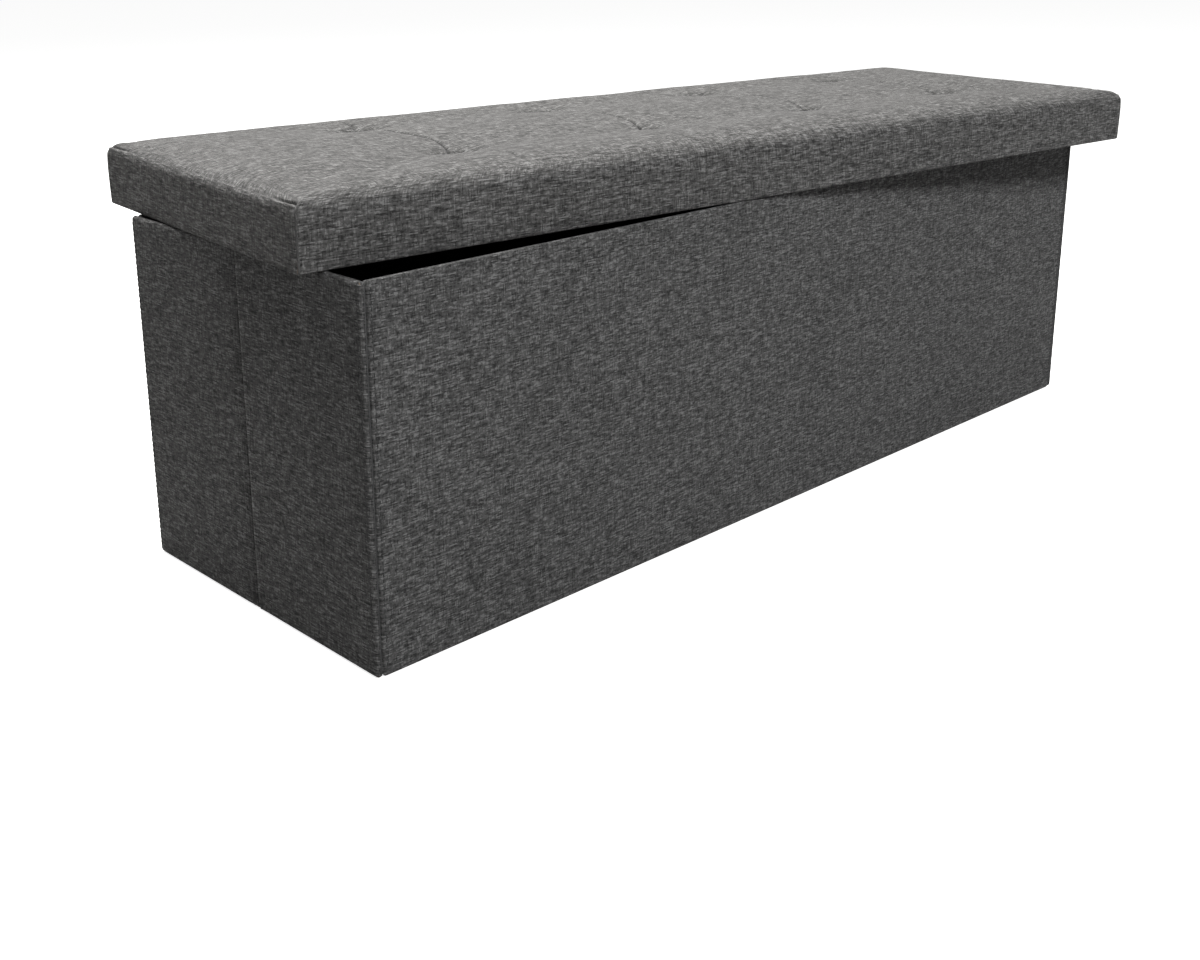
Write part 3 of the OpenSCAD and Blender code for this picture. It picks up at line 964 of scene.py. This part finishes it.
# Two threads at the bottom of each tuft.
TUFT_THREAD_LONG, TUFT_THREAD_THICK, TUFT_THREAD_APART = 7 * MM, 0.6 * MM, 0.8 * MM
starts, directions, outs = [], [], []
for cx in COLUMNS:
    for cy in ROWS:
        nearest = np.argmin(np.hypot(lid_flat[:lid_top, 0] - cx, lid_flat[:lid_top, 1] - cy))
        depth = lid_points[nearest, 2]
        for shift in (-TUFT_THREAD_APART, TUFT_THREAD_APART):
            starts.append(lid_place([cx, cy + shift, depth + 0.1 * MM])[0])
            directions.append((*first, 0))
            outs.append((0, 0, 1))
tuft_threads = capsule_rows(
    "lid_tuft_threads", starts, directions, outs, TUFT_THREAD_LONG, TUFT_THREAD_THICK
)
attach(tuft_threads, "lid")
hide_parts("lid_tufts")

LINING_PITCH = 14 * MM


def flat_grid(low_x, high_x, low_y, high_y):
    xs, ys = steps(low_x, high_x, LINING_PITCH), steps(low_y, high_y, LINING_PITCH)
    return np.meshgrid(xs, ys, indexing="ij")


def flat_lining(name, x, y, top, bottom, cloth_start, place=lambda points: points):
    """A closed lining sheet with its two faces at these heights."""
    faces = [np.stack([x, y, np.broadcast_to(z, x.shape)], -1).reshape(-1, 3) for z in (top, bottom)]
    cloth = np.stack([x, y], -1).reshape(-1, 2)
    return add_mesh(
        name, place(np.concatenate(faces)), closed_sheet_faces(x.shape),
        np.tile(cloth, (2, 1)) + cloth_start, LINING,
    )


# Lining under the lid board, stapled inside the hem.
lining_low, lining_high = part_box("lid_lining")
under_x, under_y = HALF_X - 8 * MM, HALF_Y - 8 * MM
gx, gy = flat_grid(-under_x, under_x, -under_y, under_y)
sag = fuzz(gx, gy, 31.0, 0.12) * 0.6 * MM
lid_under = flat_lining(
    "lid_black_lining", gx, gy,
    lining_high.z - LID_Z, lining_low.z - LID_Z - 0.5 * MM + sag, 11, lid_place,
)
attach(lid_under, "lid")
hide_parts("lid_lining")

# Floor panel's cloth. It wraps the board's free edges, which show when the floor stands folded up.
FLOOR_WRAP, FLOOR_SINK = 0.4 * MM, 0.3 * MM
floor_low, floor_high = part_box("floor_cover")
gx, gy = flat_grid(
    floor_low.x - FLOOR_WRAP, floor_high.x + FLOOR_WRAP, floor_low.y - FLOOR_WRAP, floor_high.y
)
rise = fuzz(gx, gy, 41.0, 0.1) * 0.3 * MM
floor_cloth = flat_lining(
    "floor_black_lining", gx, gy, floor_high.z - FLOOR_SINK + rise,
    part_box("floor_board")[0].z + FLOOR_SINK, 13,
)
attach(floor_cloth, "floor_panel")
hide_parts("floor_cover")

# ---------------------------------------------------------------- hinge seams


def hinge_seam(node, body, axis, centre, length_range, web_to):
    """A rolled cloth seam, pinched by its stitches, with a flap to the panel that it is sewn to."""
    pitch, radius, around = 5.0 * MM, 1.25 * MM, 10
    places = np.arange(length_range[0], length_range[1], pitch / 4)
    axis, centre, web = np.array(axis, float), np.array(centre, float), np.array(web_to, float)
    to_panel = web / np.linalg.norm(web)
    side = np.cross(axis, to_panel)
    points, cloth = [], []
    for k, place in enumerate(places):
        plump = radius * (0.86 + 0.14 * math.cos(2 * PI * place / pitch + PI))
        twist = 0.5 * math.sin(2 * PI * place / pitch)
        for j in range(around):
            turn = 2 * PI * j / around + 0.12 * twist
            away = math.cos(turn) * side + math.sin(turn) * to_panel
            points.append(centre + axis * place + plump * away)
            cloth.append((place, radius * turn))
    faces = []
    for k in range(len(places) - 1):
        for j in range(around):
            a, b = k * around + j, k * around + (j + 1) % around
            faces.append((a, b, b + around, a + around))
    faces.append(tuple(range(around))[::-1])
    faces.append(tuple((len(places) - 1) * around + j for j in range(around)))
    # The flap: a thin rippled strip from the roll to the panel.
    base = len(points)
    spans = np.linspace(0.4, 1.0, 4)
    for layer in (-0.3 * MM, 0.3 * MM):
        for place in places:
            ripple = 0.18 * MM * math.sin(2 * PI * place / pitch)
            for share in spans:
                lift = layer + ripple * (1 - share)
                points.append(centre + axis * place + web * share + side * lift)
                cloth.append((place, np.linalg.norm(web) * share))
    count = len(places) * len(spans)
    front = grid_faces(len(places), len(spans), base)
    faces += front + [[i + count for i in quad[::-1]] for quad in front]
    loop = outline(np.arange(count).reshape(len(places), len(spans)) + base)
    faces += [quad[::-1] for quad in ring_faces(loop, loop + count)]
    piece = add_mesh(node.replace("hinge", "seam"), points, faces, cloth, TAPE)
    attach(piece, body)
    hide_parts(node)


# Axes of the corner and floor hinges, the reach of each seam's flap, and where the seams end.
CORNER_X, CORNER_Y, CORNER_FLAP = 532.4 * MM, 166.2 * MM, 2.8 * MM
FLOOR_Y, FLOOR_Z, FLOOR_FLAP = 167.6 * MM, 2.8 * MM, 1.4 * MM
SEAM_FOOT, SEAM_TOP, FLOOR_SHORT = 1 * MM, 326 * MM, 2 * MM
for side_y, long_side in ((1, "back"), (-1, "front")):
    for side_x, end_side in ((-1, "left"), (1, "right")):
        hinge_seam(
            f"corner_hinge_{long_side}_{end_side}", long_side + "_wall", (0, 0, 1),
            (side_x * CORNER_X, side_y * CORNER_Y, 0), (SEAM_FOOT, SEAM_TOP),
            (0, side_y * CORNER_FLAP, 0),
        )
hinge_seam(
    "floor_hinge", "back_wall", (1, 0, 0), (0, FLOOR_Y, FLOOR_Z),
    (floor_low.x + FLOOR_SHORT, floor_high.x - FLOOR_SHORT), (0, FLOOR_FLAP, 0),
)

# ---------------------------------------------------------------- CAD nodes that stay

for node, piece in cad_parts.items():
    if "board" in node or "rail" in node:
        for slot in piece.material_slots:
            slot.material = BOARD

# ---------------------------------------------------------------- stage and light

floor_shader = Shader("studio_floor")
path = floor_shader.add("LightPath")
tint = floor_shader.mix(path.outputs["Is Camera Ray"], (0.30, 0.30, 0.30, 1), (0.93, 0.93, 0.92, 1))
floor_shader.base(tint, 0.9)
floor_shader.shader.inputs["Emission Color"].default_value = (1, 1, 1, 1)
glow = floor_shader.times(path.outputs["Is Camera Ray"], 0.85)
floor_shader.wire(glow, floor_shader.shader.inputs["Emission Strength"])
bpy.ops.mesh.primitive_plane_add(size=30, location=(0, 0, -0.0006))
studio_floor = bpy.context.object
studio_floor.name = "studio_floor"
studio_floor.data.materials.append(floor_shader.material)

world = bpy.data.worlds.new("studio")
scene.world = world
world.use_nodes = True
nodes, links = world.node_tree.nodes, world.node_tree.links
nodes.clear()
out = nodes.new("ShaderNodeOutputWorld")
seen, lit = nodes.new("ShaderNodeBackground"), nodes.new("ShaderNodeBackground")
seen.inputs[0].default_value, seen.inputs[1].default_value = (1, 1, 1, 1), 1.0
lit.inputs[0].default_value, lit.inputs[1].default_value = (1, 1, 1, 1), 0.1
both, path = nodes.new("ShaderNodeMixShader"), nodes.new("ShaderNodeLightPath")
links.new(path.outputs["Is Camera Ray"], both.inputs[0])
links.new(lit.outputs[0], both.inputs[1])
links.new(seen.outputs[0], both.inputs[2])
links.new(both.outputs[0], out.inputs[0])
scene.view_settings.view_transform = "Standard"


def soft_light(name, place, aim, width, depth, power, colour):
    light = bpy.data.lights.new(name, "AREA")
    light.shape, light.size, light.size_y = "RECTANGLE", width, depth
    light.energy, light.color = power, colour
    lamp = bpy.data.objects.new(name, light)
    scene.collection.objects.link(lamp)
    lamp.location = place
    lamp.rotation_mode = "QUATERNION"
    lamp.rotation_quaternion = (Vector(aim) - Vector(place)).to_track_quat("-Z", "Y")


soft_light("top_light", (0.0, 1.1, 2.5), (0, 0, 0.3), 2.0, 1.2, 122, (1, 0.99, 0.97))
soft_light("front_light", (-0.4, -3.3, 3.5), (0, 0, 0.2), 1.5, 1.1, 137, (0.98, 0.99, 1))
soft_light("left_light", (-4.0, -1.3, 1.3), (0, 0, 0.2), 1.6, 1.4, 5, (1, 0.98, 0.96))
